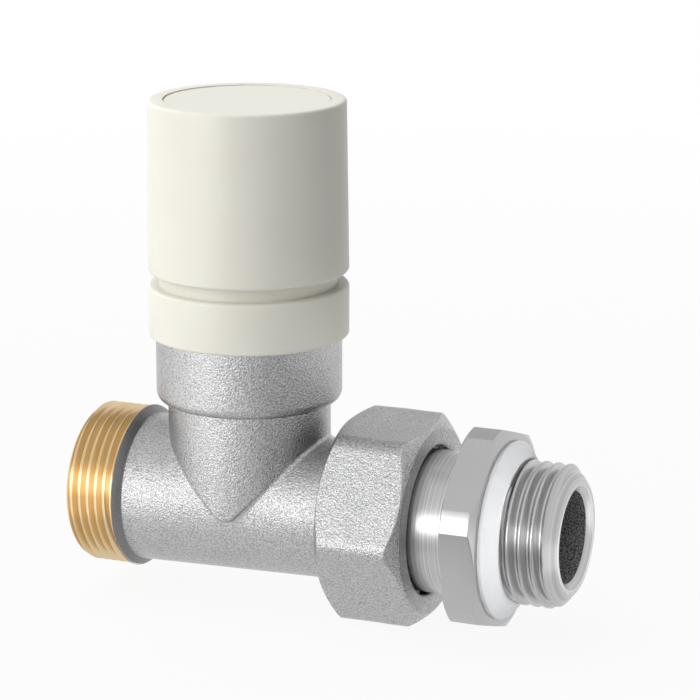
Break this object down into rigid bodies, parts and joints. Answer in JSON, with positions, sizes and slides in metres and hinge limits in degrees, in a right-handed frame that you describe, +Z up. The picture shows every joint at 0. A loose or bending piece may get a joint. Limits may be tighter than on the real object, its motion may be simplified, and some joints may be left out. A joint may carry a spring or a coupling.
{
  "type": "straight radiator valve",
  "caption": "Straight radiator valve: forged tee body with male inlet thread, turning knob on top and a union nut with a threaded, hexagon tail.",
  "frame": {"origin": "centre of the inlet end face, on the pipe axis", "axes": "+X along the pipe from inlet to radiator tail, +Z up along the spindle to the knob"},
  "size_m": [0.0762, 0.0316, 0.0753],
  "materials": {
    "nickel_forged": "nickel-plated forged brass, shot-blasted satin; raw brass at the inlet thread",
    "nickel_turned": "nickel-plated turned brass, satin",
    "brass_turned": "turned brass",
    "cream_plastic": "moulded, satin gloss, creamy white",
    "steel": "stainless steel",
    "black_rubber": "moulded rubber",
    "white_ptfe": "white seal plastic"
  },
  "bodies": {
    "valve_body": {"valve_body": "nickel_forged", "headwork_housing": "brass_turned", "headwork_o_ring": "black_rubber", "gland_nut": "brass_turned", "gland_o_ring": "black_rubber", "stem_o_ring": "black_rubber", "base_ring": "cream_plastic", "return_spring": "steel"},
    "stem": {"stem": "steel", "spring_washer": "steel", "stem_clip": "steel", "disc_holder": "brass_turned", "seat_washer": "black_rubber", "disc_nut": "brass_turned"},
    "knob": {"knob_shell": "cream_plastic", "knob_top_disc": "cream_plastic", "thrust_pin": "steel"},
    "tail": {"tail_piece": "nickel_turned", "retaining_ring": "steel", "tail_seal_ring": "white_ptfe", "union_gasket": "black_rubber"},
    "union_nut": {"union_nut": "nickel_forged"}
  },
  "joints": [
    {"name": "stem_lift", "type": "slide", "parent": "valve_body", "child": "stem", "axis": [0, 0, 1], "range_m": [-0.0015, 0], "deforming": ["return_spring"]},
    {"name": "knob_turn", "type": "hinge", "parent": "stem", "child": "knob", "pos_m": [0.025, 0, 0.045], "axis": [0, 0, 1], "range_deg": [-360, 0]},
    {"name": "tail_slide", "type": "slide", "parent": "valve_body", "child": "tail", "axis": [1, 0, 0], "range_m": [0, 0.006]},
    {"name": "union_nut_turn", "type": "hinge", "parent": "tail", "child": "union_nut", "pos_m": [0.0485, 0, 0], "axis": [1, 0, 0], "range_deg": [0, 1440]}
  ],
  "couplings": [
    {"joint": "stem_lift", "follows": "knob_turn", "m_per_rad": 0.00023873},
    {"joint": "union_nut_turn", "follows": "tail_slide", "rad_per_m": 4188.8}
  ]
}
